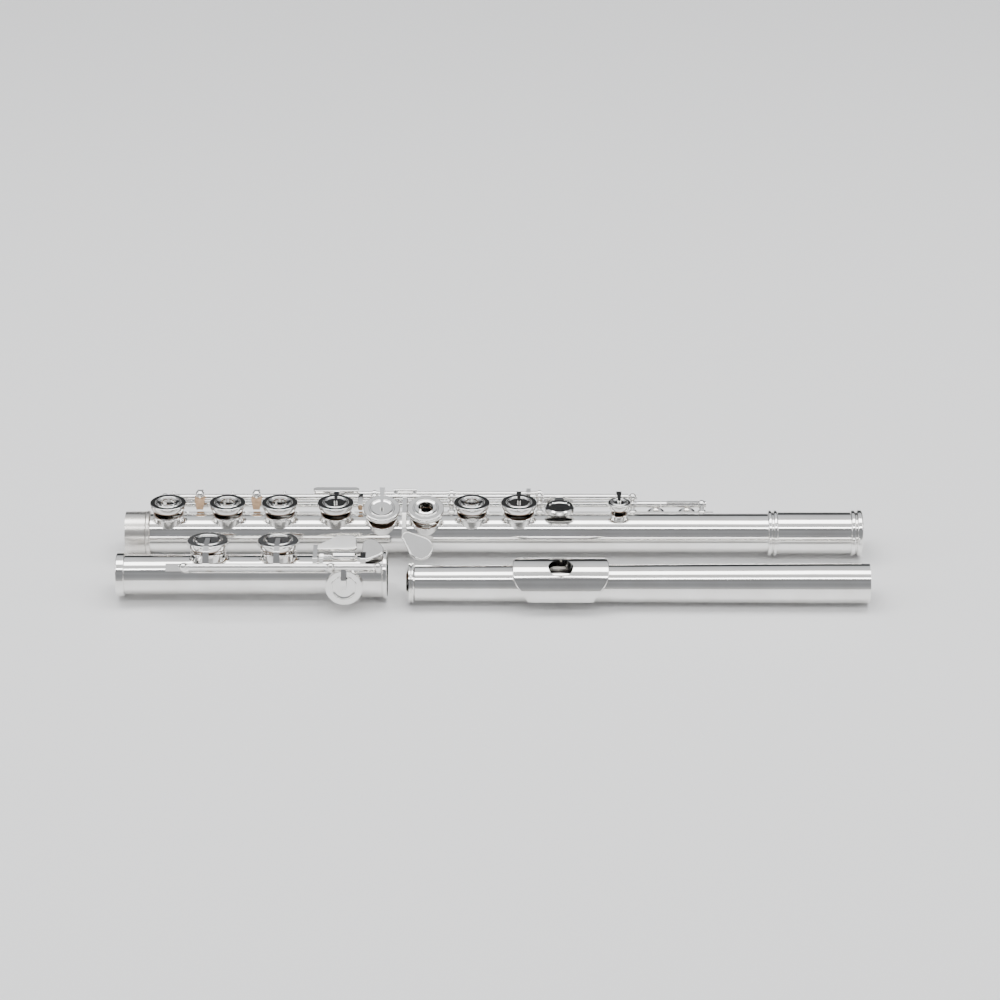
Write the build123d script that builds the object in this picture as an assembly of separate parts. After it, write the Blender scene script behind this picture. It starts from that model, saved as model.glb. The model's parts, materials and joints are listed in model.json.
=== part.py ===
from build123d import *
from math import cos, radians, sin
import os

# Concert flute with a C foot and an offset G key, taken apart into body, foot joint and head joint.
# Millimetres. +X runs along the body's bore to its barrel mouth, where the origin is, and +Z is up.

# Bores and tubes
bore_r = 9.5
wall = 0.35
tube_r = bore_r + wall
body_length = 367.4
running = 0.05          # radial clearance of a running fit
side_gap = 0.3          # between two keys on one steel, and between a key and a post
pad_gap = 0.15          # left under a closed pad

# Barrel and body tenon
barrel_length = 47.3
barrel_bore_depth = 43.0
head_tenon_r = tube_r + 0.15    # the head's tenon is swelled to fit the barrel
barrel_bore_r = head_tenon_r + running
barrel_wall = 0.5
barrel_ring_r = barrel_bore_r + 1.65
barrel_ring_width = 6.0
barrel_bead_r = barrel_bore_r + 1.45
barrel_bead_width = 5.0
tenon_length = 10.0
tenon_r = tube_r + 1.0
tenon_bead_r = tenon_r + 0.3
tenon_bead_width = 2.4

# Tone-hole chimneys, cups and pads
chimney_h = 2.2         # rim above the tube's top
chimney_wall = 1.1
cup_h = 3.3
cup_wall = 1.2
cup_roof = 1.3
pad_proud = 0.8         # pad below the cup's edge
finger_hole_r = 3.7
large_cup_r = 9.1
touch_cup_r = 7.4
small_cup_r = 5.75
back_cup_r = 8.0
trill_cup_r = 5.4
foot_cup_r = 10.2
front_cup_r = 9.2
chimney_inset = 1.4     # cup radius less chimney radius

# Rods: distance behind the bore's axis and height above it
main_y, main_z = tube_r + 4.1, tube_r + 2.4
lower_y, lower_z = main_y + 0.2, main_z - 4.5
lever_y, lever_z = main_y + 3.8, main_z - 0.3
steel_r = 1.0
hinge_r = 1.6
lever_rod_r = 1.1
post_ball_r = 1.95
lower_ball_r = 2.3
post_foot_r = 2.3
post_neck_r = 1.2
rib_angle = -54.0       # degrees from the top, behind
rib_h = 0.8
rib_width = 4.0
spring_r = 0.25
spring_length = 17.0
open_angle = 7.5        # a main key's travel, in degrees
thumb_angle = 7.0

# Key places along the body
d_x, e_x, f_x, fs_x = -345.8, -316.3, -290.3, -262.5
g_low_x, g_up_x = -239.4, -217.6
a_x, bf_x, c_x, cs_x = -194.8, -171.3, -151.1, -121.4
thumb_x, gs_arm_x, lever_x = c_x, -228.3, -262.8
trill_1_x, trill_2_x = -102.3, -86.8
touch_1_x, touch_2_x = -302.5, -330.8
g_lean = 18.0
back_lean = -100.0
trill_lean = -92.0
touch_y, touch_z = main_y - 3.0, main_z + 3.4
touch_ball_r = 2.4
cork_top, cork_tip = 5.4, 3.2
post_xs = [-348.6, -243.7, -205.0, -161.0, -114.3]
end_post_x = -79.6
rib_end_x = -74.0

# Foot joint, on its own axis
foot_length = 132.8
foot_end = -236.0
foot_x = foot_end - foot_length
foot_roll = -18.0
foot_ring_r = tube_r + 1.1
foot_ring_width = 4.3
socket_length = tenon_length + 1.0
socket_shoulder = 1.2
socket_r = tenon_r + running
socket_wall = 0.5
socket_ring_r = socket_r + 1.15
socket_ring_width = 2.5
foot_rod_angle = 45.0
foot_rod_radius = tube_r + 10.1
low_c_x, low_cs_x, ds_x = -323.7, -289.3, -256.7
ds_lean = 98.0
foot_post_xs = [-334.6, -263.0, -240.1]
foot_touch_z = tube_r + 4.2
foot_touch_tilt = 12.0
roller_r = 2.1
roller_y = -5.9         # the roller lies this far in front of the axis
roller_pin_r = 0.7

# Head joint, on its own axis
head_x = -222.4
head_length = 222.6
crown_tube_r = tube_r - 1.0
taper_end_x = -25.0
head_roll = 17.5
plate_x = -151.1
plate_length = 47.0
plate_width = 25.0
plate_r = tube_r + 2.8
plate_wall = 0.8
plate_edge = 0.5        # rounding of the plate's edges
mouth_length = 12.2
mouth_width = 10.3
crown_r = head_tenon_r
crown_length = 4.8
stopper_x = plate_x - 17.3
stopper_length = 16.0
stopper_rod_r = 1.6

# Where the sections lie on the surface, which touches the body's barrel ring
floor_z = -barrel_ring_r
foot_y = -2 * tube_r - 17.8
foot_z = floor_z + socket_ring_r
head_y = -2 * tube_r - 22.5
head_z = floor_z + crown_r


def disc(x0, x1, radius, y=0.0, z=0.0):
    """A cylinder along X."""
    return Pos((x0 + x1) / 2, y, z) * Rot(0, 90, 0) * Cylinder(radius, x1 - x0)


def tube(x0, x1, outer, inner, y=0.0, z=0.0):
    """A tube along X."""
    return disc(x0, x1, outer, y, z) - disc(x0 - 1, x1 + 1, inner, y, z)


def bead(x0, x1, outer, inner):
    """A ring along X with rounded outer edges."""
    ring = tube(x0, x1, outer, inner)
    edges = ring.edges().filter_by(GeomType.CIRCLE).filter_by(lambda e: e.radius > outer - 0.01)
    return fillet(edges, min(0.4 * (x1 - x0), 0.6 * (outer - inner)))


def bar(x, path, thick, width):
    """A strap of even thickness, centred on x, through points (y, z)."""
    solid = None
    for y, z in path:
        knuckle = disc(x - width / 2, x + width / 2, thick / 2, y, z)
        solid = knuckle if solid is None else solid + knuckle
    for (y0, z0), (y1, z1) in zip(path, path[1:]):
        run = Vector(0, y1 - y0, z1 - z0)
        plane = Plane(origin=(x, (y0 + y1) / 2, (z0 + z1) / 2), x_dir=(1, 0, 0), z_dir=run.normalized())
        solid += plane * Box(width, thick, run.length)
    return solid


def tapered(x, path, thick, root_width, tip_width, low=-40.0, high=40.0):
    """A strap that narrows evenly from its first point to its last, seen from above."""
    y0, y1 = path[0][0], path[-1][0]
    sign = 1 if y1 > y0 else -1
    corners = [
        (x - root_width / 2, y0 - sign * thick),
        (x + root_width / 2, y0 - sign * thick),
        (x + tip_width / 2, y1 + sign * thick),
        (x - tip_width / 2, y1 + sign * thick),
    ]
    outline = make_face(Polyline(*corners, close=True))
    prism = Pos(0, 0, low) * extrude(outline, high - low)
    return bar(x, path, thick, max(root_width, tip_width)) & prism


def leaf(circles, z, thick):
    """A flat plate drawn tight round circles (x, y, radius), with its upper edge eased."""
    edges = []
    for x, y, radius in circles:
        edges += (Pos(x, y) * Circle(radius)).edges()
    plate = Pos(0, 0, z) * extrude(make_hull(edges), thick)
    top = plate.edges().group_by(Axis.Z)[-1]
    return fillet(top, thick * 0.4)


def turned(points):
    """A solid turned about Z from half-outline points (r, z)."""
    face = make_face(Polyline(*[(r, 0, z) for r, z in points], close=True))
    return revolve(face, Axis.Z)


def arc(*points):
    """An arc through three half-outline points (r, z)."""
    return ThreePointArc(*[(r, 0, z) for r, z in points])


def line(*points):
    """Straight runs through half-outline points (r, z)."""
    return Polyline(*[(r, 0, z) for r, z in points])


def cup_place(x, lean, height):
    """A frame whose Z points out of the tube at x, lean degrees from the top towards the front."""
    return Rot(lean, 0, 0) * Pos(x, 0, height)


rim_z = tube_r + chimney_h
cup_z = rim_z + pad_gap + pad_proud


def cup(radius, hole=0.0):
    """A key cup, widest at its top edge, with a bead turned on its top and its pad's seat below."""
    inner = radius - cup_wall
    roof = cup_h - cup_roof
    bead_r = radius * 0.66
    edge_h = cup_h - 0.15
    floor_h = cup_h - 0.4
    outline = [
        line((0, floor_h), (0, roof), (inner, roof), (inner, 0), (inner + 0.4, 0)),
        arc((inner + 0.4, 0), (radius - 0.25, 1.2), (radius, cup_h - 0.7)),
        arc((radius, cup_h - 0.7), (radius - 0.1, cup_h - 0.35), (radius - 0.5, edge_h)),
        line((radius - 0.5, edge_h), (bead_r + 0.5, edge_h)),
        arc((bead_r + 0.5, edge_h), (bead_r, cup_h + 0.2), (bead_r - 0.5, edge_h)),
        line((bead_r - 0.5, edge_h), (bead_r - 1.2, floor_h), (0, floor_h)),
    ]
    solid = revolve(make_face(outline), Axis.Z)
    if hole:
        sleeve = hole + 0.6
        solid += turned([(hole - 0.1, 0.2), (sleeve, 0.2), (sleeve, cup_h - 0.2), (hole - 0.1, cup_h)])
        solid -= Cylinder(hole, 20)
    return solid


def pad(radius, hole=0.0):
    """The pad that fills a cup's seat and stands proud of its edge."""
    top = cup_h - cup_roof
    thick = top + pad_proud
    solid = Pos(0, 0, top - thick / 2) * Cylinder(radius - cup_wall, thick)
    outer = solid.edges().filter_by(GeomType.CIRCLE).group_by(Axis.Z)[0]
    solid = fillet(outer, 0.3)
    if hole:
        solid -= Cylinder(hole + 0.6, 20)
    return solid


def chimney(x, lean, cup_radius):
    """A drawn tone-hole chimney with a rolled rim, and the core that opens it."""
    outer = cup_radius - chimney_inset
    inner = outer - chimney_wall
    place = cup_place(x, lean, 0)
    wall_part = Pos(0, 0, rim_z / 2) * Cylinder(outer - 0.5, rim_z)
    roll = Pos(0, 0, rim_z - 0.55) * Torus(outer - 0.55, 0.55)
    return place * (wall_part + roll), place * Pos(0, 0, 20) * Cylinder(inner, 40)


def hinge(x0, x1, y=main_y, z=main_z, radius=hinge_r, inner=steel_r + running):
    """A hinge tube along X."""
    return tube(x0 + side_gap / 2, x1 - side_gap / 2, radius, inner, y, z)


def clear_of_steel(solid, y=main_y, z=main_z, inner=steel_r + running):
    """The solid with the steel's running bore cut right through it."""
    return solid - disc(-400, 50, inner, y, z)


def swing(solid, angle, y=main_y, z=main_z):
    """The solid turned about a rod."""
    return Pos(0, y, z) * Rot(angle, 0, 0) * Pos(0, -y, -z) * solid


def turned_back(y, z, lean):
    """A point (y, z) seen in a frame that leans by lean degrees."""
    a = radians(lean)
    return y * cos(a) + z * sin(a), z * cos(a) - y * sin(a)


def lug_arm(x, radius, lean=0.0):
    """The short three-cornered lug between an open cup's rim and the rod."""
    rod = turned_back(main_y, main_z, lean)
    edge = (radius + 0.45, cup_z + cup_h / 2 - 0.2)
    return Rot(lean, 0, 0) * tapered(x, [rod, edge], 1.6, 2.6, 8.0)


def long_arm(x, lean=0.0, width=3.2, height=cup_h):
    """The pointed arm from the rod over the rim to the centre of a closed cup."""
    rod = turned_back(main_y, main_z, lean)
    path = [rod, (rod[0] - 3.5, cup_z + height), (0, cup_z + height + 0.1)]
    arm = tapered(x, path, 1.3, width, 1.0)
    tip = Pos(x, 0, cup_z + height) * Cylinder(1.0, 1.8)
    return Rot(lean, 0, 0) * (arm + tip)


def export(solid, name):
    export_step(solid, "parts/" + name + ".step")


os.makedirs("parts", exist_ok=True)

# Body tube: the wall, the top and back chimneys, and their openings
top_holes = [
    (d_x, 0, large_cup_r), (e_x, 0, large_cup_r), (f_x, 0, large_cup_r), (fs_x, 0, large_cup_r),
    (g_low_x, g_lean, large_cup_r), (g_up_x, g_lean, large_cup_r), (a_x, 0, large_cup_r),
    (bf_x, 0, large_cup_r), (cs_x, 0, small_cup_r),
]
back_holes = [
    (g_low_x, back_lean, back_cup_r), (thumb_x, back_lean, back_cup_r),
    (trill_1_x, trill_lean, trill_cup_r), (trill_2_x, trill_lean, trill_cup_r),
]


def holed_tube(x0, x1, holes):
    """A tube with chimneys standing on it."""
    solid = disc(x0, x1, tube_r)
    cores = []
    for x, lean, radius in holes:
        stack, core = chimney(x, lean, radius)
        solid += stack
        cores.append(core)
    solid -= disc(x0 - 1, x1 + 1, bore_r)
    for core in cores:
        solid -= core
    return solid


body_tube = holed_tube(-body_length, -barrel_bore_depth, top_holes + back_holes)
export(body_tube, "body_tube")

# Barrel: a sleeve over the tube's end, with a ring at each end
barrel_r = barrel_bore_r + barrel_wall
barrel = tube(-barrel_length, -0.5, barrel_r, barrel_bore_r)
barrel += bead(-barrel_length, -barrel_length + barrel_bead_width * 0.45, barrel_bead_r, barrel_bore_r)
barrel += bead(-barrel_length + barrel_bead_width * 0.55, -barrel_length + barrel_bead_width, barrel_bead_r,
               barrel_bore_r)
barrel += bead(-barrel_ring_width, -barrel_ring_width * 0.58, barrel_bead_r, barrel_bore_r)
barrel += bead(-barrel_ring_width * 0.5, 0, barrel_ring_r, barrel_bore_r)
seat = tube(-barrel_length - 1, -barrel_bore_depth, barrel_bore_r, tube_r)
barrel += seat & disc(-barrel_length, -barrel_bore_depth, barrel_r)
export(barrel, "barrel_sleeve")

# Foot tenon: the sleeve that the foot joint slides over, and its stop bead
tenon_stop = -body_length + tenon_length
tenon = tube(-body_length, tenon_stop, tenon_r, tube_r)
tenon += bead(tenon_stop, tenon_stop + tenon_bead_width, tenon_bead_r, tube_r)
export(tenon, "foot_tenon_sleeve")


# Ribs and posts
def rib(x0, x1, angle):
    """A narrow strap seated on the tube's back."""
    strap = Pos((x0 + x1) / 2, 0, tube_r + rib_h / 2 - 0.4) * Box(x1 - x0, rib_width, rib_h + 0.8)
    strap = Rot(angle, 0, 0) * strap
    return strap - disc(x0 - 1, x1 + 1, tube_r)


chimneys = None
for hole_x, hole_lean, hole_cup in top_holes + back_holes:
    stack, core = chimney(hole_x, hole_lean, hole_cup)
    stack += core
    chimneys = stack if chimneys is None else chimneys + stack
ribs = rib(tenon_stop + tenon_bead_width + 0.5, rib_end_x, rib_angle) - chimneys
export(ribs, "body_ribs")


def pillar(x, y0, z0, y1, z1, foot=post_foot_r):
    """A turned pillar from a rib to a ball, with a waist and a foot."""
    run = Vector(0, y1 - y0, z1 - z0)
    plane = Plane(origin=(x, y0, z0), x_dir=(1, 0, 0), z_dir=run.normalized())
    length = run.length
    outline = [(0, -1), (foot, -1), (foot, 0.5), (post_neck_r, 1.6), (post_neck_r, length), (0, length)]
    return plane * turned(outline)


def ball(x, y, z, radius):
    """A post's ball, its poles on the rod's line."""
    return Pos(x, y, z) * Rot(0, 90, 0) * Sphere(radius)


rib_top = tube_r + rib_h
foot_point = (-rib_top * sin(radians(rib_angle)), rib_top * cos(radians(rib_angle)))


def body_post(x, upper=True, eye=False):
    """A post: the lower ball, the upper ball on a neck, and an eye for the lever's rod."""
    post = pillar(x, foot_point[0], foot_point[1], lower_y, lower_z)
    post += ball(x, lower_y, lower_z, lower_ball_r)
    if upper:
        post += Pos(x, (lower_y + main_y) / 2, (lower_z + main_z) / 2) * Cylinder(post_neck_r, main_z - lower_z)
        post += ball(x, main_y, main_z, post_ball_r)
    if eye:
        post += bar(x, [(main_y, main_z), (lever_y, lever_z)], 1.4, 1.6)
        post += disc(x - 0.8, x + 0.8, lever_rod_r + 0.6, lever_y, lever_z)
        post -= disc(x - 9, x + 9, lever_rod_r + running, lever_y, lever_z)
    return post


def seated(post, *seats):
    """The post cut to its seats, without the crumbs beyond them."""
    for seat in seats:
        post -= seat
    return post.solids().sort_by(SortBy.VOLUME)[-1]


spring_y, spring_z = (lower_y + main_y) / 2, (lower_z + main_z) / 2
posts = []
for post_x in post_xs + [end_post_x]:
    post = body_post(post_x, upper=post_x != end_post_x, eye=post_x in post_xs[1:4])
    post -= disc(post_x - 12, post_x + 12, hinge_r + running, lower_y, lower_z)
    post -= disc(post_x - 12, post_x + 12, steel_r, main_y, main_z)
    if post_x in post_xs[:4]:
        post -= disc(post_x - 2.5, post_x + 2.5, spring_r, spring_y, spring_z)
    posts.append(seated(post, ribs, body_tube, tenon))
export(Compound(children=posts), "body_posts")

steels = disc(post_xs[0] - 1.5, post_xs[1] + 1.5, steel_r, main_y, main_z)
steels += disc(post_xs[1] + 1.6, post_xs[2] + 1.2, steel_r, main_y, main_z)
steels += disc(post_xs[2] + 1.3, post_xs[3] + 1.2, steel_r, main_y, main_z)
steels += disc(post_xs[3] + 1.3, post_xs[4] + 1.5, steel_r, main_y, main_z)
export(steels, "main_steels")

springs = None
for post_x in post_xs[:4]:
    needle = disc(post_x - 1.0, post_x + spring_length, spring_r, spring_y, spring_z)
    springs = needle if springs is None else springs + needle
export(springs, "key_springs")


# Main keys, built closed on their chimneys and then swung open about the main rod
def main_key(name, x, x0, x1, hole=0.0, pointed=False):
    """One cup with its arm, hinge tube and pad."""
    key = cup_place(x, 0, cup_z) * cup(large_cup_r, hole)
    lug_x = max(x, x0 + 2.6)
    key += long_arm(x) if pointed else lug_arm(lug_x, large_cup_r)
    key = clear_of_steel(key + hinge(x0, x1))
    export(swing(key, -open_angle), name + "_key")
    export(swing(cup_place(x, 0, cup_z) * pad(large_cup_r, hole), -open_angle), name + "_pad")


def clear_post(x, side):
    """The hinge end beside a post's ball."""
    return x + side * (post_ball_r + side_gap / 2)


fs_end = clear_post(post_xs[1], -1)
main_key("d", d_x, clear_post(post_xs[0], 1), -330.0, finger_hole_r)
main_key("e", e_x, -330.0, -302.0, finger_hole_r)
main_key("f", f_x, -302.0, -276.4, finger_hole_r)
main_key("f_sharp", fs_x, -276.4, fs_end, pointed=True)
main_key("a", a_x, clear_post(post_xs[2], 1), -183.0, finger_hole_r)
main_key("b_flat", bf_x, -183.0, clear_post(post_xs[3], -1), pointed=True)


def g_key():
    """Two offset cups on one split hinge tube, joined by a bridge over the G sharp lever."""
    gap = 2.2
    key = cup_place(g_low_x, g_lean, cup_z) * cup(large_cup_r)
    key += cup_place(g_up_x, g_lean, cup_z) * cup(large_cup_r, finger_hole_r)
    key += long_arm(g_low_x, g_lean)
    key += lug_arm(g_up_x, large_cup_r, g_lean)
    key += hinge(clear_post(post_xs[1], 1), gs_arm_x - gap)
    key += hinge(gs_arm_x + gap, clear_post(post_xs[2], -1))
    bridge = [(main_y, main_z), (main_y + 2.0, main_z + 2.7)]
    key += bar(gs_arm_x - gap - 2.5, bridge, 1.4, 2.0)
    key += bar(gs_arm_x + gap + 2.5, bridge, 1.4, 2.0)
    key += disc(gs_arm_x - gap - 3.5, gs_arm_x + gap + 3.5, 0.8, *bridge[1])
    pads = cup_place(g_low_x, g_lean, cup_z) * pad(large_cup_r)
    pads += cup_place(g_up_x, g_lean, cup_z) * pad(large_cup_r, finger_hole_r)
    export(swing(clear_of_steel(key), -open_angle), "g_key")
    export(swing(pads, -open_angle), "g_pads")


g_key()


def c_key():
    """The index touch, which has no pad, and the small cup that it closes."""
    low = cup_z - 1.6
    touch = turned([(0, 0.6), (touch_cup_r - 1, 0), (touch_cup_r, 0.5), (touch_cup_r, 2.0),
                    (touch_cup_r - 0.7, 2.6), (5.2, 2.6), (5.0, 2.2), (0, 2.2)])
    key = Pos(c_x, 0, low) * touch
    key += tapered(c_x, [(main_y, main_z), (touch_cup_r - 0.6, low + 1.4)], 1.5, 2.4, 6.0)
    key += cup_place(cs_x, 0, cup_z) * cup(small_cup_r)
    key += long_arm(cs_x, 0, 3.6)
    key += hinge(c_x - 2.4, clear_post(post_xs[4], -1))
    export(swing(clear_of_steel(key), -open_angle), "c_key")
    export(swing(cup_place(cs_x, 0, cup_z) * pad(small_cup_r), -open_angle), "c_pad")


c_key()
back_z = cup_z + cup_h


def on_circle(radius, lean):
    """The point (y, z) at a radius from the bore's axis, lean degrees from the top."""
    return -radius * sin(radians(lean)), radius * cos(radians(lean))


def thumb_key():
    """The back cup and its thumb plate, hung from the main rod."""
    arm_x = c_x - 2.4 - 2.5
    key = cup_place(thumb_x, back_lean, cup_z) * cup(back_cup_r)
    path = [(main_y, main_z), (lower_y + 3.0, lower_z + 1.0), (lower_y + 3.0, lower_z - 7.0),
            on_circle(back_z + 0.2, back_lean)]
    key += bar(arm_x, path, 1.4, 3.0)
    plate = bar(thumb_x - 1.0, [(0.0, back_z + 0.3), (6.8, back_z + 0.3)], 1.4, 13.0)
    key += Rot(back_lean, 0, 0) * plate
    key += hinge(clear_post(post_xs[3], 1), c_x - 2.4)
    key = clear_of_steel(key)
    export(swing(key, thumb_angle), "thumb_key")
    export(swing(cup_place(thumb_x, back_lean, cup_z) * pad(back_cup_r), thumb_angle), "thumb_pad")


thumb_key()


def g_sharp_key():
    """The lever over the tube with its curved paddle in front, and the back cup that it opens."""
    gap = 2.2
    front = [(main_y, main_z)] + [on_circle(tube_r + out, lean)
                                  for out, lean in ((6.8, -21), (5.5, 19), (5.9, 48), (7.9, 66))]
    key = bar(gs_arm_x, front, 1.6, 2.1)
    paddle = leaf([(gs_arm_x + 1.6, 3.4, 2.7), (gs_arm_x + 8.3, -2.6, 6.1)], 0, 1.5)
    key += Pos(0, -tube_r - 7.9, 5.2) * Rot(38, 0, 0) * paddle
    back = [(main_y, main_z), (main_y + 2.9, main_z - 3.5), (main_y + 3.4, main_z - 10.5),
            on_circle(back_z + 0.5, back_lean)]
    key += bar(gs_arm_x, back, 1.4, 2.1)
    key += disc(g_low_x - 1, gs_arm_x + 1, 1.1, *on_circle(back_z + 0.5, back_lean))
    key += cup_place(g_low_x, back_lean, cup_z) * cup(back_cup_r)
    key += hinge(gs_arm_x - gap, gs_arm_x + gap)
    export(clear_of_steel(key), "g_sharp_key")
    export(cup_place(g_low_x, back_lean, cup_z) * pad(back_cup_r), "g_sharp_pad")


g_sharp_key()


# Trill keys: a tube and a rod inside it, on the lower line, with hooked touches over the main rod
def trill_touch(x):
    """The hooked strap from the lower line round the main rod, with its ball end."""
    path = [(lower_y, lower_z), (main_y + 3.4, main_z - 2.2), (main_y + 3.2, main_z + 1.2),
            (main_y + 1.4, main_z + 2.7), (touch_y, touch_z)]
    return bar(x, path, 1.4, 3.0) + Pos(x, touch_y, touch_z) * Sphere(touch_ball_r)


def touch_cork(x):
    """The tapered cork glued under a trill touch, which stops it on the tube."""
    top, tip = touch_z - 1.2, tube_r + 0.3
    side = [(touch_y + 1.0, top), (touch_y - 1.8, top), (touch_y - 6.2, tip + 0.8), (touch_y - 4.2, tip)]
    face = make_face(Polyline(*[(x - cork_top, y, z) for y, z in side], close=True))
    taper = [(-cork_top / 2, top), (cork_top / 2, top), (cork_tip / 2, tip - 1), (-cork_tip / 2, tip - 1)]
    front = make_face(Polyline(*[(x + across, -40, z) for across, z in taper], close=True))
    block = extrude(face, 2 * cork_top, dir=(1, 0, 0)) & extrude(front, 80, dir=(0, 1, 0))
    return block - Pos(x, touch_y, touch_z) * Sphere(touch_ball_r) - bar(x, [(touch_y, touch_z),
                                                                             (main_y, touch_z)], 1.4, 3.0)


def trill_key(name, touch_x, cup_x, rod):
    """A trill key: touch, long rod or tube, and a small back cup."""
    seat = cup_place(cup_x, trill_lean, cup_z)
    path = [(lower_y, lower_z), (lower_y + 2.2, lower_z - 4.0), on_circle(back_z + 0.2, trill_lean)]
    key = trill_touch(touch_x) + seat * cup(trill_cup_r) + bar(cup_x, path, 1.4, 2.4)
    export(rod(key), name + "_key")
    export(seat * pad(trill_cup_r), name + "_pad")
    export(touch_cork(touch_x), name + "_cork")


def outer_tube(key):
    """The first trill key on its long tube."""
    key += tube(touch_1_x - 2.0, trill_1_x + 2.0, hinge_r, steel_r + running, lower_y, lower_z)
    return clear_of_steel(key, lower_y, lower_z)


def inner_rod(key):
    """The second trill key on a rod that runs through the first one's tube."""
    key += disc(touch_2_x - 2.0, trill_2_x + 2.0, steel_r, lower_y, lower_z)
    key += tube(touch_2_x - 2.0, touch_1_x - 2.4, hinge_r, steel_r, lower_y, lower_z)
    key += tube(post_xs[0] - 2.0, touch_2_x, hinge_r, steel_r - 0.4, lower_y, lower_z)
    return key + tube(trill_1_x + 2.4, end_post_x + 2.2, hinge_r, steel_r - 0.4, lower_y, lower_z)


trill_key("d_trill", touch_1_x, trill_1_x, outer_tube)
trill_key("d_sharp_trill", touch_2_x, trill_2_x, inner_rod)


def b_flat_lever():
    """The long touch plate on a rod behind the main keys, and its finger over the B flat key."""
    lever = disc(lever_x - 11.2, post_xs[3] + 1.6, lever_rod_r, lever_y, lever_z)
    plate_z = main_z + 2.5
    lever += leaf([(lever_x + side * 9.6, main_y + 2.0, 1.9) for side in (-1, 1)], plate_z, 1.1)
    lever += bar(lever_x, [(lever_y, lever_z), (main_y + 2.6, plate_z + 0.5)], 1.2, 14.0)
    finger = [(lever_y, lever_z), (main_y + 2.2, plate_z + 0.5), (main_y - 1.4, plate_z + 0.5)]
    return lever + bar(post_xs[3] - 5.5, finger, 1.2, 2.2)


export(b_flat_lever(), "b_flat_lever")


# Foot joint, built on its own axis with its cups upright, then rolled back and laid down
foot_place = Pos(0, foot_y, foot_z) * Rot(foot_roll, 0, 0)
rod_y, rod_z = on_circle(foot_rod_radius, foot_rod_angle - foot_roll)
socket_x = foot_end - socket_length
foot_holes = [(low_c_x, 0, foot_cup_r), (low_cs_x, 0, foot_cup_r), (ds_x, ds_lean, front_cup_r)]


def foot_export(solid, name):
    export(foot_place * solid, name)


def foot_swing(solid, angle):
    return swing(solid, angle, rod_y, rod_z)


foot_open = 6.0
foot_body = holed_tube(foot_x, socket_x, foot_holes)
foot_export(foot_body, "foot_tube")
end_ring = bead(foot_x, foot_x + foot_ring_width, foot_ring_r, tube_r)
foot_export(end_ring, "foot_end_ring")
socket_outer = socket_r + socket_wall
socket = tube(socket_x, foot_end - 0.5, socket_outer, socket_r)
socket += tube(socket_x - socket_shoulder, socket_x, socket_outer, tube_r)
socket += bead(foot_end - socket_ring_width, foot_end, socket_ring_r, socket_r)
foot_export(socket, "foot_socket")

foot_chimneys = None
for hole_x, hole_lean, hole_cup in foot_holes:
    stack, core = chimney(hole_x, hole_lean, hole_cup)
    stack += core
    foot_chimneys = stack if foot_chimneys is None else foot_chimneys + stack
foot_rib_angle = 55.0
foot_rib_end = socket_x - socket_shoulder
foot_ribs = rib(-344.1, foot_rib_end, foot_rib_angle) - foot_chimneys
foot_export(foot_ribs, "foot_rib")

foot_root = on_circle(tube_r + rib_h, foot_rib_angle)
foot_posts = []
for post_x in foot_post_xs:
    base = on_circle(socket_outer, foot_rib_angle) if post_x > foot_rib_end else foot_root
    post = pillar(post_x, base[0], base[1], rod_y, rod_z)
    post += ball(post_x, rod_y, rod_z, post_ball_r)
    post -= disc(post_x - 12, post_x + 12, steel_r, rod_y, rod_z)
    foot_posts.append(seated(post, foot_ribs, foot_body, socket))
foot_export(Compound(children=foot_posts), "foot_posts")
foot_steel = disc(foot_post_xs[0] - 1.5, foot_post_xs[-1] + 1.5, steel_r, rod_y, rod_z)
foot_export(foot_steel, "foot_steel")


def foot_hinge(x0, x1):
    """A hinge tube on the foot's steel."""
    return hinge(x0, x1, rod_y, rod_z)


def foot_clear(solid):
    return clear_of_steel(solid, rod_y, rod_z)


def foot_cup_arm(x):
    """The arm from the foot's rod over a cup's near rim to its centre."""
    top = cup_z + cup_h
    path = [(rod_y, rod_z), (rod_y + 3.2, top - 1.0), (rod_y + 6.6, top + 0.4), (0, top + 0.1)]
    arm = tapered(x, path, 1.4, 3.2, 2.2)
    return arm + Pos(x, 0, top) * Cylinder(1.6, 1.6)


def foot_point_at(y, z):
    """A point given upright, turned into the rolled frame of the foot."""
    return turned_back(y, z, foot_roll)


split_x = -307.0
touch_arm_x = -269.5


def low_c_key():
    """The lowest key: cup, arm and hinge tube, carried past the next key's by a bridge."""
    key = cup_place(low_c_x, 0, cup_z) * cup(foot_cup_r)
    key += foot_cup_arm(low_c_x)
    key += foot_hinge(clear_post(foot_post_xs[0], 1), split_x)
    foot_export(foot_swing(foot_clear(key), foot_open), "low_c_key")
    foot_export(foot_swing(cup_place(low_c_x, 0, cup_z) * pad(foot_cup_r), foot_open), "low_c_pad")


low_c_key()


def level_touch(circles, thick=1.4):
    """A touch plate, level but for a slight tilt forward when the foot is rolled back."""
    middle = sum(y for x, y, radius in circles) / len(circles)
    plate = Rot(foot_touch_tilt, 0, 0) * Pos(0, -middle, 0) * leaf(circles, 0, thick)
    return Rot(-foot_roll, 0, 0) * Pos(0, middle, foot_touch_z) * plate


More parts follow.
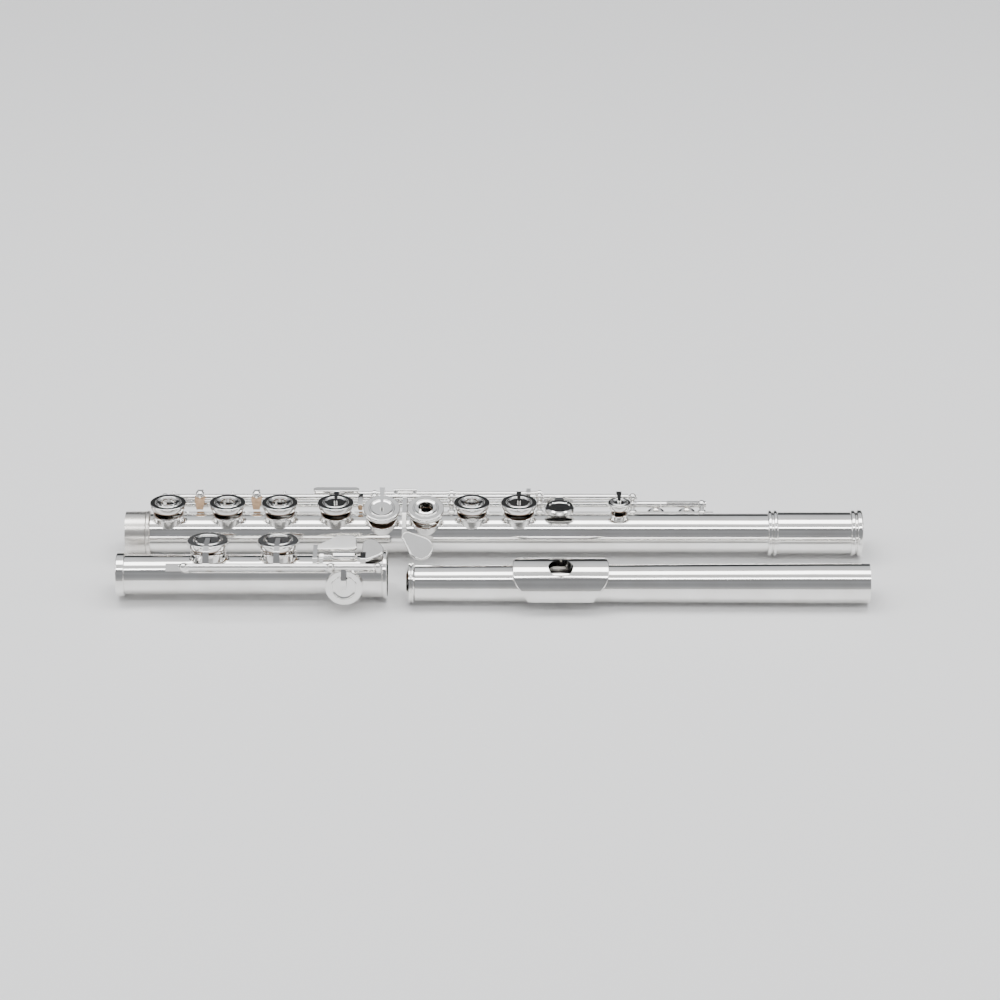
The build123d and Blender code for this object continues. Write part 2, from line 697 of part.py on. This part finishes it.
def low_c_sharp_key():
    """The C sharp key: cup, long hinge tube, leaf touch, and the bracket that holds the roller."""
    key = cup_place(low_cs_x, 0, cup_z) * cup(foot_cup_r)
    key += foot_cup_arm(low_cs_x)
    key += foot_hinge(split_x, clear_post(foot_post_xs[1], -1))
    leaf_arm = [(rod_y, rod_z), foot_point_at(-10.8, 16.2), foot_point_at(0.4, foot_touch_z + 0.9)]
    key += bar(touch_arm_x - 1.2, leaf_arm, 1.4, 2.2)
    leaf_round = [(0.4, 0.4, 1.6), (9.5, 5.4, 2.2), (15.8, 5.0, 2.8), (17.2, 0.6, 1.6)]
    key += level_touch([(touch_arm_x + x, y, radius) for x, y, radius in leaf_round])
    eye_y, eye_z = foot_point_at(roller_y, foot_touch_z - 0.2)
    key += bar(touch_arm_x + 1.9, leaf_arm[:2] + [(eye_y, eye_z)], 1.4, 2.0)
    key += disc(touch_arm_x + 0.9, touch_arm_x + 2.9, 1.7, eye_y, eye_z)
    key -= disc(touch_arm_x, touch_arm_x + 9, roller_pin_r, eye_y, eye_z)
    foot_export(foot_swing(foot_clear(key), foot_open), "low_c_sharp_key")
    foot_export(foot_swing(cup_place(low_cs_x, 0, cup_z) * pad(foot_cup_r), foot_open), "low_c_sharp_pad")
    roller = tube(touch_arm_x + 6.5, -250.6, roller_r, roller_pin_r + running, eye_y, eye_z)
    ends = roller.edges().filter_by(GeomType.CIRCLE).filter_by(lambda e: e.radius > roller_r - 0.01)
    roller = chamfer(ends, 1.0)
    pin = disc(touch_arm_x + 0.5, -250.3, roller_pin_r, eye_y, eye_z)
    foot_export(foot_swing(roller, foot_open), "c_roller")
    foot_export(foot_swing(pin, foot_open), "roller_pin")


low_c_sharp_key()


def foot_d_sharp_key():
    """The D sharp key: a teardrop touch behind the rod and the front cup that it lifts."""
    key = cup_place(ds_x, ds_lean, cup_z) * cup(front_cup_r)
    crown_point = on_circle(cup_z + cup_h + 0.2, ds_lean)
    elbow = on_circle(foot_rod_radius + 0.6, ds_lean - 16)
    key += bar(ds_x, [(rod_y, rod_z), elbow, crown_point], 1.4, 2.6)
    touch_x = -247.4
    path = [(rod_y, rod_z), foot_point_at(-10.8, 16.2), foot_point_at(-3.5, foot_touch_z + 0.7)]
    key += bar(touch_x, path, 1.4, 2.6)
    drop_round = [(1.4, -5.6, 2.0), (4.8, -0.6, 5.0), (3.4, 2.6, 4.0)]
    key += level_touch([(touch_x + x, y, radius) for x, y, radius in drop_round])
    key += foot_hinge(clear_post(foot_post_xs[1], 1), clear_post(foot_post_xs[2], -1))
    foot_export(foot_clear(key), "foot_d_sharp_key")
    foot_export(cup_place(ds_x, ds_lean, cup_z) * pad(front_cup_r), "foot_d_sharp_pad")


foot_d_sharp_key()


# Head joint, built on its own axis with its mouth hole upright, then rolled forward and laid down
head_place = Pos(0, head_y, head_z) * Rot(head_roll, 0, 0)
head_end = head_x + head_length


def head_export(solid, name):
    export(head_place * solid, name)


def along_x(points):
    """A solid turned about X from half-outline points (x, r)."""
    return revolve(make_face(Polyline(*points, close=True)), Axis.X)


mouth = extrude(Pos(plate_x, 0) * Ellipse(mouth_length / 2, mouth_width / 2), 40)
riser_h = plate_r - plate_wall
tube_shape = along_x([
    (head_x, crown_tube_r), (taper_end_x, head_tenon_r), (head_end, head_tenon_r),
    (head_end, head_tenon_r - wall), (taper_end_x, head_tenon_r - wall), (head_x, crown_tube_r - wall),
])
head_export(tube_shape - mouth, "head_tube")
solid_tube = along_x([
    (head_x, 0), (head_x, crown_tube_r), (taper_end_x, head_tenon_r), (head_end, head_tenon_r), (head_end, 0),
])
riser_outline = Pos(plate_x, 0) * Ellipse(mouth_length / 2 + 2.0, mouth_width / 2 + 2.0)
plate_core = disc(-300, 20, riser_h)
riser = (extrude(riser_outline, 40) & plate_core) - solid_tube - mouth
head_export(riser, "lip_riser")
outline = extrude(Pos(plate_x, 0) * RectangleRounded(plate_length, plate_width - 1, 9.0), 40)
plate = (disc(-300, 20, plate_r) & outline) - plate_core


def on_top(edge):
    """True for an edge that lies on the plate's outer face."""
    return all(abs((v.Y ** 2 + v.Z ** 2) ** 0.5 - plate_r) < 0.01 for v in edge.vertices())


plate = fillet(plate.edges().filter_by(on_top), plate_edge) - mouth
head_export(plate, "lip_plate")

crown_gap = 0.1
dome = along_x([
    (head_x - crown_gap, 0), (head_x - crown_gap, crown_tube_r), (head_x - 0.8, crown_r),
    (head_x - 1.4, crown_r), (head_x - 1.8, crown_r - 0.7), (head_x - 2.2, crown_r - 0.2),
    (head_x - 2.9, crown_r - 0.2), (head_x - 3.2, crown_r - 1.0), (head_x - 4.2, crown_r - 3.5),
    (head_x - crown_length, 0),
])
dome -= disc(head_x - 3.4, head_x, stopper_rod_r + running)
head_export(dome, "crown")


def head_bore_at(x):
    """The tapered bore's radius at x."""
    share = (x - head_x) / (taper_end_x - head_x)
    return crown_tube_r - wall + share * (head_tenon_r - crown_tube_r)


stopper_travel = 1.5
stopper_end = stopper_x - stopper_length
stopper_r = head_bore_at(stopper_end - stopper_travel - 2) - running
cork = disc(stopper_end, stopper_x, stopper_r) - disc(stopper_end - 1, stopper_x + 1, stopper_rod_r)
head_export(cork, "stopper_cork")
stopper_rod = disc(head_x - 1.4, stopper_x, stopper_rod_r)
stopper_rod += disc(stopper_x, stopper_x + 1.0, stopper_r) + disc(stopper_end - 1.0, stopper_end, stopper_r)
head_export(stopper_rod, "stopper_rod")
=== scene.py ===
import json
import math

import bpy
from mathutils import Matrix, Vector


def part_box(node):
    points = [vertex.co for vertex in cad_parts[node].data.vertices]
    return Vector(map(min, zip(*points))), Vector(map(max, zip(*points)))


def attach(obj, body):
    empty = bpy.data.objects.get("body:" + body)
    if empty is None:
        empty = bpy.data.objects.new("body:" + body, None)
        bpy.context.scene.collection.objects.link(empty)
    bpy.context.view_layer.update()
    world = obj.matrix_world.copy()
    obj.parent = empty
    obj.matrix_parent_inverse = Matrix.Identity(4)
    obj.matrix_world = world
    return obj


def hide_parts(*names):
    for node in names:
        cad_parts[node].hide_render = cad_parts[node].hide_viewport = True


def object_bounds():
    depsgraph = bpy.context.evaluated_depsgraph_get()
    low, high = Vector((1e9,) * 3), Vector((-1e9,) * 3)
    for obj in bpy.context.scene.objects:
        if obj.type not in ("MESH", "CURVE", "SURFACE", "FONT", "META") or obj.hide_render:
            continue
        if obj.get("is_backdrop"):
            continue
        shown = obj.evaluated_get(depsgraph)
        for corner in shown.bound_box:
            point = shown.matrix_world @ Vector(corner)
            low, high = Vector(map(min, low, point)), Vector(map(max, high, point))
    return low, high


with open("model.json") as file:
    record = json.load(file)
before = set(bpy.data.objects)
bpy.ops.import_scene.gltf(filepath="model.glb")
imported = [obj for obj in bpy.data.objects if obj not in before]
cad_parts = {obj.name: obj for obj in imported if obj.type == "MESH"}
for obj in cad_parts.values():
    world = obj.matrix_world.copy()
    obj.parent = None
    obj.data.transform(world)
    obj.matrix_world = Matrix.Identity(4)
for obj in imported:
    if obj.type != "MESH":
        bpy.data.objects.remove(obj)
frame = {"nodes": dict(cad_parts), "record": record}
cad_low, cad_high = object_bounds()
nodes = frame["nodes"]

# The camera looks along +Y from in front of the two short sections, 33 degrees above the surface
# that they lie on, through a long lens that keeps the rows nearly parallel.
scene = bpy.context.scene
look_at = (-0.18075, 0.00895, 0.01374)
elevation = math.radians(33)
distance = 1.75
lens_mm, sensor_mm = 126, 36
bpy.ops.object.camera_add(
    location=(
        look_at[0],
        look_at[1] - distance * math.cos(elevation),
        look_at[2] + distance * math.sin(elevation),
    ),
    rotation=(math.pi / 2 - elevation, 0, 0),
)
camera = bpy.context.object
camera.data.sensor_width = sensor_mm
camera.data.lens = lens_mm
camera.data.clip_start = 0.01
camera.data.clip_end = 20
scene.camera = camera


# The surface is a wide flat sheet of white card. It isn't part of the flute.
# The flute's three sections lie on it with a hair's gap below their rings.
def plain_material(name, colour, roughness):
    """A matt material whose tone drifts a little over a wide area."""
    material = bpy.data.materials.new(name)
    material.use_nodes = True
    tree = material.node_tree
    shader = tree.nodes["Principled BSDF"]
    shader.inputs["Roughness"].default_value = roughness
    place = tree.nodes.new("ShaderNodeTexCoord")
    drift = tree.nodes.new("ShaderNodeTexNoise")
    drift.inputs["Scale"].default_value = 3
    ramp = tree.nodes.new("ShaderNodeValToRGB")
    ramp.color_ramp.elements[0].color = (*[0.97 * c for c in colour], 1)
    ramp.color_ramp.elements[1].color = (*colour, 1)
    tree.links.new(place.outputs["Object"], drift.inputs["Vector"])
    tree.links.new(drift.outputs["Fac"], ramp.inputs["Fac"])
    tree.links.new(ramp.outputs["Color"], shader.inputs["Base Color"])
    return material


floor_size, floor_gap = 6, 0.0002
bpy.ops.mesh.primitive_plane_add(size=floor_size, location=(0, 0, cad_low[2] - floor_gap))
floor = bpy.context.object
floor.name = "floor"
floor.data.materials.append(plain_material("pale_card", (0.90, 0.90, 0.90), 0.6))
floor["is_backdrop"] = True


# Soft studio light: wide banks overhead and in front, and a strip at each side. The room is pale
# overhead, grey in front and dark behind at low level, which polished silver needs to show shape.
def light_bank(name, place, target, size, power):
    """A rectangular soft light that faces its target."""
    bpy.ops.object.light_add(type="AREA", location=place)
    bank = bpy.context.object
    bank.name = name
    bank.data.shape = "RECTANGLE"
    bank.data.size, bank.data.size_y = size
    bank.data.energy = power
    way = [t - p for t, p in zip(target, place)]
    level = math.hypot(way[0], way[1])
    bank.rotation_euler = (math.atan2(level, -way[2]), 0, math.atan2(way[1], way[0]) - math.pi / 2)
    return bank


centre = (-0.18, -0.02, 0)
light_bank("top_bank", (-0.18, 0.15, 1.3), centre, (1.8, 0.5), 18)
light_bank("front_bank", (-0.18, -0.75, 1.35), centre, (1.6, 0.14), 8)
light_bank("left_bank", (-1.3, -0.2, 0.8), centre, (0.3, 0.9), 4)
light_bank("right_bank", (1.0, -0.2, 0.8), centre, (0.3, 0.9), 4)

world = bpy.data.worlds.new("studio")
world.use_nodes = True
room = world.node_tree
place = room.nodes.new("ShaderNodeTexCoord")
split = room.nodes.new("ShaderNodeSeparateXYZ")
room.links.new(place.outputs["Generated"], split.inputs["Vector"])


def height_bands(stops):
    """A ramp of greys over the height of the direction looked in, from level to straight up."""
    bands = room.nodes.new("ShaderNodeValToRGB")
    room.links.new(split.outputs["Z"], bands.inputs["Fac"])
    for element, (position, grey) in zip(bands.color_ramp.elements, (stops[0], stops[-1])):
        element.position = position
        element.color = (grey, grey, grey, 1)
    for position, grey in stops[1:-1]:
        bands.color_ramp.elements.new(position).color = (grey, grey * 1.02, grey * 1.06, 1)
    return bands


behind = height_bands([
    (0.0, 0.50), (0.10, 0.34), (0.18, 0.05), (0.44, 0.04), (0.54, 0.62), (0.75, 0.85), (1.0, 1.0),
])
before = height_bands([
    (0.0, 0.60), (0.25, 0.36), (0.45, 0.30), (0.66, 0.34), (0.80, 0.22), (0.90, 0.80), (1.0, 1.0),
])
side = room.nodes.new("ShaderNodeMapRange")
turn_over = 0.15
side.inputs["From Min"].default_value = -turn_over
side.inputs["From Max"].default_value = turn_over
room.links.new(split.outputs["Y"], side.inputs["Value"])
walls = room.nodes.new("ShaderNodeMix")
walls.data_type = "RGBA"
room.links.new(side.outputs["Result"], walls.inputs["Factor"])
room.links.new(before.outputs["Color"], walls.inputs["A"])
room.links.new(behind.outputs["Color"], walls.inputs["B"])
room.links.new(walls.outputs["Result"], room.nodes["Background"].inputs["Color"])
room.nodes["Background"].inputs["Strength"].default_value = 1.0
scene.world = world


# Silver plate: the tubes, cups, arms and posts are nickel silver with a bright silver finish. It
# is nearly a mirror and a little warm, with faint wipe marks and slight dulling in patches.
def metal(name, colour, dull, rough_low, rough_high, grain):
    """Polished metal: mottled tone, uneven gloss and fine wipe marks, all in object space."""
    material = bpy.data.materials.new(name)
    material.use_nodes = True
    tree = material.node_tree
    link = tree.links.new
    shader = tree.nodes["Principled BSDF"]
    shader.inputs["Metallic"].default_value = 1.0
    place = tree.nodes.new("ShaderNodeTexCoord")
    patches = tree.nodes.new("ShaderNodeTexNoise")
    patches.inputs["Scale"].default_value = 60
    patches.inputs["Detail"].default_value = 6
    link(place.outputs["Object"], patches.inputs["Vector"])
    tone = tree.nodes.new("ShaderNodeValToRGB")
    tone.color_ramp.elements[0].position = 0.3
    tone.color_ramp.elements[0].color = (*dull, 1)
    tone.color_ramp.elements[1].position = 0.62
    tone.color_ramp.elements[1].color = (*colour, 1)
    link(patches.outputs["Fac"], tone.inputs["Fac"])
    link(tone.outputs["Color"], shader.inputs["Base Color"])
    gloss = tree.nodes.new("ShaderNodeMapRange")
    gloss.inputs["To Min"].default_value = rough_high
    gloss.inputs["To Max"].default_value = rough_low
    link(patches.outputs["Fac"], gloss.inputs["Value"])
    link(gloss.outputs["Result"], shader.inputs["Roughness"])
    stretch = tree.nodes.new("ShaderNodeMapping")
    stretch.inputs["Scale"].default_value = (40, 900, 900)
    wipes = tree.nodes.new("ShaderNodeTexNoise")
    wipes.inputs["Scale"].default_value = grain
    wipes.inputs["Detail"].default_value = 3
    link(place.outputs["Object"], stretch.inputs["Vector"])
    link(stretch.outputs["Vector"], wipes.inputs["Vector"])
    bump = tree.nodes.new("ShaderNodeBump")
    bump.inputs["Strength"].default_value = 0.02
    bump.inputs["Distance"].default_value = 0.00002
    link(wipes.outputs["Fac"], bump.inputs["Height"])
    link(bump.outputs["Normal"], shader.inputs["Normal"])
    return material


silver = metal("bright_silver", (0.93, 0.925, 0.91), (0.85, 0.835, 0.81), 0.05, 0.11, 1.0)
satin = metal("satin_silver", (0.84, 0.82, 0.79), (0.76, 0.73, 0.69), 0.22, 0.32, 2.0)
steel = metal("polished_steel", (0.78, 0.78, 0.78), (0.68, 0.68, 0.68), 0.10, 0.18, 1.5)


def soft_material(name, colour, dark, speck, scale, roughness):
    """Cork or pad skin: mottled, speckled and matt."""
    material = bpy.data.materials.new(name)
    material.use_nodes = True
    tree = material.node_tree
    link = tree.links.new
    shader = tree.nodes["Principled BSDF"]
    shader.inputs["Roughness"].default_value = roughness
    place = tree.nodes.new("ShaderNodeTexCoord")
    grains = tree.nodes.new("ShaderNodeTexVoronoi")
    grains.inputs["Scale"].default_value = scale
    link(place.outputs["Object"], grains.inputs["Vector"])
    mottle = tree.nodes.new("ShaderNodeTexNoise")
    mottle.inputs["Scale"].default_value = scale * 0.5
    mottle.inputs["Detail"].default_value = 5
    link(place.outputs["Object"], mottle.inputs["Vector"])
    tone = tree.nodes.new("ShaderNodeValToRGB")
    tone.color_ramp.elements[0].position = 0.32
    tone.color_ramp.elements[0].color = (*dark, 1)
    tone.color_ramp.elements[1].position = 0.6
    tone.color_ramp.elements[1].color = (*colour, 1)
    link(mottle.outputs["Fac"], tone.inputs["Fac"])
    mix = tree.nodes.new("ShaderNodeMix")
    mix.data_type = "RGBA"
    mix.inputs["B"].default_value = (*speck, 1)
    pick = tree.nodes.new("ShaderNodeMapRange")
    pick.inputs["From Min"].default_value = 0.0
    pick.inputs["From Max"].default_value = 0.25
    pick.inputs["To Min"].default_value = 0.7
    pick.inputs["To Max"].default_value = 0.0
    link(grains.outputs["Distance"], pick.inputs["Value"])
    link(pick.outputs["Result"], mix.inputs["Factor"])
    link(tone.outputs["Color"], mix.inputs["A"])
    link(mix.outputs["Result"], shader.inputs["Base Color"])
    bump = tree.nodes.new("ShaderNodeBump")
    bump.inputs["Strength"].default_value = 0.35
    bump.inputs["Distance"].default_value = 0.0001
    link(grains.outputs["Distance"], bump.inputs["Height"])
    link(bump.outputs["Normal"], shader.inputs["Normal"])
    return material


pad_skin = soft_material("pad_skin", (0.30, 0.19, 0.115), (0.19, 0.115, 0.07), (0.24, 0.15, 0.09), 900, 0.55)
cork = soft_material("cork", (0.56, 0.38, 0.24), (0.42, 0.27, 0.16), (0.28, 0.16, 0.09), 1400, 0.75)
finish_of = {"silver": silver, "satin_silver": satin, "steel": steel, "pad": pad_skin, "cork": cork}
slot_of = {part["node"]: part["material_slot"] for part in frame["record"]["subparts"]}
for name, node in nodes.items():
    finish = finish_of[slot_of[name]]
    if not node.data.materials:
        node.data.materials.append(finish)
    for slot in node.material_slots:
        slot.material = finish


# Pads: each is a felt disc in thin skin over card, glued in its cup. Its edge is crowned, and the
# chimney's rim has pressed a shallow ring into its face. Those under open cups are rings.
def deselect():
    """Leaves nothing selected."""
    bpy.ops.object.select_all(action="DESELECT")


def pick_faces(piece, wanted):
    """Selects, in edit mode, the faces whose centres pass a test."""
    bpy.ops.mesh.select_all(action="DESELECT")
    bpy.ops.object.mode_set(mode="OBJECT")
    for face in piece.data.polygons:
        face.select = wanted(face.center, face.normal)
    bpy.ops.object.mode_set(mode="EDIT")


def settle(piece, material, body):
    """Applies a piece's place, smooths it, and gives it its finish and its body."""
    deselect()
    piece.select_set(True)
    bpy.context.view_layer.objects.active = piece
    bpy.ops.object.transform_apply(location=True, rotation=True, scale=True)
    bpy.ops.object.shade_smooth_by_angle(angle=math.radians(35))
    piece.data.materials.clear()
    piece.data.materials.append(material)
    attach(piece, body)


def skin_pad(name, radius, thick, hole):
    """A pad lying flat about the origin, with its seat below."""
    deselect()
    bpy.ops.mesh.primitive_cylinder_add(vertices=72, radius=radius, depth=thick, location=(0, 0, 0))
    made = bpy.context.object
    made.name = name
    bpy.ops.object.mode_set(mode="EDIT")
    bpy.ops.mesh.select_mode(type="FACE")
    pick_faces(made, lambda c, n: n.z < -0.9)
    seat_depth = 0.00012
    bpy.ops.mesh.inset(thickness=0.05 * radius)
    bpy.ops.mesh.inset(thickness=0.05 * radius)
    bpy.ops.transform.translate(value=(0, 0, seat_depth))
    bpy.ops.mesh.inset(thickness=0.12 * radius)
    bpy.ops.transform.translate(value=(0, 0, -seat_depth))
    bpy.ops.mesh.inset(thickness=0.25 * radius)
    bpy.ops.object.mode_set(mode="OBJECT")
    crown = made.modifiers.new("crown", "BEVEL")
    crown.width = 0.00035
    crown.segments = 3
    crown.limit_method = "ANGLE"
    crown.angle_limit = math.radians(50)
    bpy.ops.object.modifier_apply(modifier="crown")
    if hole:
        deselect()
        bpy.ops.mesh.primitive_cylinder_add(vertices=48, radius=hole, depth=4 * thick)
        punch = bpy.context.object
        cut = made.modifiers.new("hole", "BOOLEAN")
        cut.object = punch
        cut.solver = "EXACT"
        bpy.context.view_layer.objects.active = made
        bpy.ops.object.modifier_apply(modifier="hole")
        bpy.data.objects.remove(punch)
    return made


sleeve_r = 0.00432
main_rest, thumb_rest, foot_rest, foot_lean = -7.5, -93.0, -12.0, 80.0
g_sharp_rest, trill_rest, g_row_lean = -100.0, -92.0, 18.0
pads = [
    ("d_pad", "d", main_rest, sleeve_r), ("e_pad", "e", main_rest, sleeve_r),
    ("f_pad", "f", main_rest, sleeve_r), ("f_sharp_pad", "f_sharp", main_rest, 0),
    ("a_pad", "a", main_rest, sleeve_r), ("b_flat_pad", "b_flat", main_rest, 0),
    ("c_pad", "c", main_rest, 0), ("thumb_pad", "thumb", thumb_rest, 0),
    ("g_sharp_pad", "g_sharp", g_sharp_rest, 0), ("d_trill_pad", "d_trill", trill_rest, 0),
    ("d_sharp_trill_pad", "d_sharp_trill", trill_rest, 0), ("low_c_pad", "low_c", foot_rest, 0),
    ("low_c_sharp_pad", "low_c_sharp", foot_rest, 0),
    ("foot_d_sharp_pad", "foot_d_sharp", foot_lean, 0),
]
pad_thick = 0.0028


def seat_pad(name, body, middle, radius, lean, hole):
    """Makes a pad and turns it to its cup's lean, in degrees from the top towards the front."""
    made = skin_pad(name, radius, pad_thick, hole)
    made.rotation_euler = (math.radians(lean), 0, 0)
    made.location = middle
    settle(made, pad_skin, body)
    return made


for node, body, lean, hole in pads:
    low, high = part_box(node)
    middle = [(a + b) / 2 for a, b in zip(low, high)]
    made = seat_pad("felt_" + node, body, middle, (high[0] - low[0]) / 2, lean, hole)
    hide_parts(node)

low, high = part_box("g_pads")
g_radius = 0.0079
level = [(low[1] + high[1]) / 2, (low[2] + high[2]) / 2]
g_lean = g_row_lean + main_rest
lower_g = seat_pad("felt_g_low_pad", "g", (low[0] + g_radius, *level), g_radius, g_lean, 0)
upper_g = seat_pad("felt_g_up_pad", "g", (high[0] - g_radius, *level), g_radius, g_lean, sleeve_r)
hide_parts("g_pads")
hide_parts("g_pads")


# Corks: each trill touch has a tapered block of cork glued below its ball, which lands on the
# tube. The head's stopper cork is a plain plug with its ends eased.
def cork_block(name, node, body, top_share, tip_share):
    """A cork that fills its CAD node's box, wider at the top than at the tip."""
    low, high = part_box(node)
    middle = [(a + b) / 2 for a, b in zip(low, high)]
    across, deep, tall = [b - a for a, b in zip(low, high)]
    deselect()
    bpy.ops.mesh.primitive_cube_add(size=1, location=(0, 0, 0))
    made = bpy.context.object
    made.name = name
    bpy.ops.object.mode_set(mode="EDIT")
    bpy.ops.mesh.select_mode(type="FACE")
    bpy.ops.transform.resize(value=(across, top_share * deep, tall))
    pick_faces(made, lambda c, n: n.z > 0.9)
    bpy.ops.transform.translate(value=(0, (1 - top_share) * deep / 2, 0))
    pick_faces(made, lambda c, n: n.z < -0.9)
    bpy.ops.transform.translate(value=(0, -(1 - top_share) * deep / 2, 0))
    bpy.ops.transform.resize(value=(tip_share, tip_share, 1))
    bpy.ops.mesh.select_all(action="SELECT")
    bpy.ops.mesh.subdivide(number_cuts=3)
    bpy.ops.object.mode_set(mode="OBJECT")
    made.location = middle
    edges = made.modifiers.new("edges", "BEVEL")
    edges.width = 0.00025
    edges.segments = 2
    edges.limit_method = "ANGLE"
    edges.angle_limit = math.radians(40)
    bpy.ops.object.modifier_apply(modifier="edges")
    settle(made, cork, body)
    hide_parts(node)
    return made


cork_block("cork_d_trill", "d_trill_cork", "d_trill", 0.52, 0.62)
cork_block("cork_d_sharp_trill", "d_sharp_trill_cork", "d_sharp_trill", 0.52, 0.62)


def ease(piece, width, segments=2, angle=40):
    """Rounds a piece's sharp edges."""
    edges = piece.modifiers.new("edges", "BEVEL")
    edges.width = width
    edges.segments = segments
    edges.limit_method = "ANGLE"
    edges.angle_limit = math.radians(angle)
    bpy.context.view_layer.objects.active = piece
    bpy.ops.object.modifier_apply(modifier="edges")


def rod_piece(name, radius, length, place, turn=(0, math.pi / 2, 0), vertices=48):
    """A cylinder, along X unless it is turned."""
    deselect()
    bpy.ops.mesh.primitive_cylinder_add(vertices=vertices, radius=radius, depth=length,
                                        location=place, rotation=turn)
    made = bpy.context.object
    made.name = name
    return made


low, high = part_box("stopper_cork")
plug_place = [(a + b) / 2 for a, b in zip(low, high)]
plug = rod_piece("cork_stopper", (high[1] - low[1]) / 2, high[0] - low[0], plug_place)
ease(plug, 0.0004)
settle(plug, cork, "stopper")
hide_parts("stopper_cork")


# Pivot screws: each rod ends in a slotted screw let into the outer face of its end post. The
# screws are polished steel, and their slots stand at the angles that they were left at.
def slotted_screw(name, x, y, z, way, slot_angle, body):
    """A low slotted screw head on the end of a rod, facing along X."""
    head_r, head_h, slot_w = 0.0012, 0.0005, 0.0004
    slot_depth = 0.0005
    made = rod_piece(name, head_r, head_h, (x, y, z), vertices=40)
    ease(made, 0.00012)
    deselect()
    bpy.ops.mesh.primitive_cube_add(size=1, location=(x + way * head_h / 2, y, z),
                                    rotation=(slot_angle, 0, 0),
                                    scale=(slot_depth, slot_w, 3 * head_r))
    cutter = bpy.context.object
    slot_cut = made.modifiers.new("slot", "BOOLEAN")
    slot_cut.object = cutter
    slot_cut.solver = "EXACT"
    bpy.context.view_layer.objects.active = made
    bpy.ops.object.modifier_apply(modifier="slot")
    bpy.data.objects.remove(cutter)
    settle(made, steel, body)


low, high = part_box("main_steels")
main_y, main_z = (low[1] + high[1]) / 2, (low[2] + high[2]) / 2
ball_gap = 0.0006
slotted_screw("screw_main_left", low[0] - ball_gap, main_y, main_z, -1, 0.5, "flute_body")
slotted_screw("screw_main_right", high[0] + ball_gap, main_y, main_z, 1, 1.1, "flute_body")
foot_low, foot_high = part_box("foot_steel")
foot_rod = ((foot_low[1] + foot_high[1]) / 2, (foot_low[2] + foot_high[2]) / 2)
slotted_screw("screw_foot_left", foot_low[0] - ball_gap, *foot_rod, -1, 0.2, "foot")
slotted_screw("screw_foot_right", foot_high[0] + ball_gap, *foot_rod, 1, 0.9, "foot")


# Lug tips: the lug of each open cup runs over its hinge tube and ends in a small turned point
# behind the rod, standing up a little.
def lug_tip(name, x, body):
    """A turned point on top of a key's hinge tube, leaning back."""
    deselect()
    bpy.ops.mesh.primitive_cone_add(vertices=32, radius1=0.0012, radius2=0.0003, depth=0.0020,
                                    location=(x, main_y + 0.0008, main_z + 0.0021),
                                    rotation=(math.radians(-25), 0, 0))
    made = bpy.context.object
    made.name = name
    ease(made, 0.00015)
    settle(made, silver, body)


tip_aside = 0.0016
for key in ("d", "e", "f", "a"):
    low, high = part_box(key + "_pad")
    lug_tip("lug_tip_" + key, (low[0] + high[0]) / 2 + tip_aside, key)


# Adjusting lug: a short strap from the F sharp key's tube reaches forward over the body tube and
# ends in a cork foot, which lands on the tube when the key shuts.
def strap(name, size, place, lean, body, finish):
    """A small flat strap with eased edges, leaning about X."""
    deselect()
    bpy.ops.mesh.primitive_cube_add(size=1, location=place, rotation=(lean, 0, 0), scale=size)
    made = bpy.context.object
    made.name = name
    bpy.ops.object.transform_apply(location=False, rotation=False, scale=True)
    ease(made, 0.0002)
    settle(made, finish, body)


adjust_x = -0.2505
strap("adjusting_lug", (0.0026, 0.0095, 0.0010), (adjust_x, main_y - 0.0052, main_z + 0.0018),
      math.radians(2), "f_sharp", silver)
foot = rod_piece("adjusting_lug_foot", 0.0012, 0.0026, (adjust_x, main_y - 0.0092, main_z + 0.0001),
                 turn=(0, 0, 0), vertices=32)
ease(foot, 0.0002)
settle(foot, cork, "f_sharp")


# Trill springs: two thin needle springs run from the last post along the lower rod, one for each
# trill key. They are steel, polished bright.
low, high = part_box("body_posts")
needle_r, needle_length = 0.00022, 0.017
spring_x = high[0] - 0.0020 - 0.0095
for name, up in (("trill_spring_low", 0.0018), ("trill_spring_high", 0.0030)):
    needle_place = (spring_x, main_y - 0.0012, main_z - 0.0045 + up)
    needle = rod_piece(name, needle_r, needle_length, needle_place, vertices=16)
    settle(needle, steel, "flute_body")

low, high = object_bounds()
